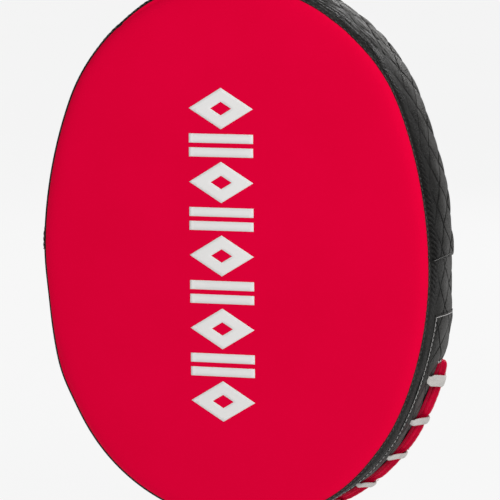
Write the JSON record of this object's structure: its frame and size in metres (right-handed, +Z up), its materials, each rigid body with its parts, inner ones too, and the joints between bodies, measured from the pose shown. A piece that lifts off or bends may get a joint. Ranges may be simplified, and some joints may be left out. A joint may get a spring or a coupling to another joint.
{
  "type": "thai pad",
  "caption": "Oval held striking pad with a crowned leather face, foam layers, laced edge roll, rocking grip and two hook-and-loop forearm straps.",
  "frame": {"origin": "outside of the back panel under the forearm, at the pad's widest height", "axes": "+Z up the forearm towards the fingers, -Y the way the struck face looks, +X right seen from in front"},
  "size_m": [0.246, 0.13, 0.33],
  "materials": {
    "red_leather": "smooth, satin sheen",
    "black_leather": "smooth grain, satin sheen",
    "quilted_leather": "embossed with a diamond quilt",
    "dark_red_leather": "flat strip, satin",
    "white_print": "flat heat-transfer film",
    "white_lace": "flat leather lace",
    "foam_firm": "closed-cell foam, firm",
    "foam_soft": "closed-cell foam, soft",
    "filler_cord": "twisted cotton",
    "webbing": "woven nylon",
    "hook_tape": "stiff hooks",
    "loop_tape": "soft loop pile",
    "steel_wire": "nickel-plated",
    "rivet_metal": "nickel-plated"
  },
  "bodies": {
    "pad": {"face_cover": "red_leather", "face_print": "white_print", "foam_front": "foam_soft", "foam_core": "foam_firm", "foam_back": "foam_soft", "back_cover": "black_leather", "gusset_upper": "quilted_leather", "gusset_lower": "black_leather", "heel_panel": "black_leather", "edge_roll": "red_leather", "edge_roll_cord": "filler_cord", "edge_flange": "dark_red_leather", "lace": "white_lace", "cushion_cover": "black_leather", "cushion_foam": "foam_soft", "grip_tab_left": "black_leather", "grip_tab_right": "black_leather", "rivets": "rivet_metal", "rivet_washers": "rivet_metal", "strap_upper_body": "webbing", "strap_upper_loop_tape": "loop_tape", "strap_upper_keeper": "webbing", "strap_upper_patch": "black_leather", "strap_lower_body": "webbing", "strap_lower_loop_tape": "loop_tape", "strap_lower_keeper": "webbing", "strap_lower_patch": "black_leather"},
    "grip": {"grip_core": "foam_firm", "grip_cover": "red_leather", "grip_loop_left": "black_leather", "grip_loop_right": "black_leather"},
    "upper_ring": {"strap_upper_ring": "steel_wire"},
    "upper_tail": {"strap_upper_tail": "webbing", "strap_upper_hook_tape": "hook_tape"},
    "lower_ring": {"strap_lower_ring": "steel_wire"},
    "lower_tail": {"strap_lower_tail": "webbing", "strap_lower_hook_tape": "hook_tape"}
  },
  "joints": [
    {"name": "grip_rock", "type": "hinge", "parent": "pad", "child": "grip", "pos_m": [0, 0.0052, 0.1], "axis": [1, 0, 0], "range_deg": [-20, 20]},
    {"name": "upper_ring_swing", "type": "hinge", "parent": "pad", "child": "upper_ring", "pos_m": [-0.07185, 0.0037, 0.03], "axis": [0, 0, 1], "range_deg": [0, 12]},
    {"name": "upper_tail_peel", "type": "hinge", "parent": "upper_ring", "child": "upper_tail", "pos_m": [-0.06573, 0.01739, 0.03], "axis": [0, 0, 1], "range_deg": [0, 115]},
    {"name": "lower_ring_swing", "type": "hinge", "parent": "pad", "child": "lower_ring", "pos_m": [-0.07511, 0.0037, -0.062], "axis": [0, 0, 1], "range_deg": [0, 12]},
    {"name": "lower_tail_peel", "type": "hinge", "parent": "lower_ring", "child": "lower_tail", "pos_m": [-0.07065, 0.01802, -0.062], "axis": [0, 0, 1], "range_deg": [0, 115]}
  ]
}
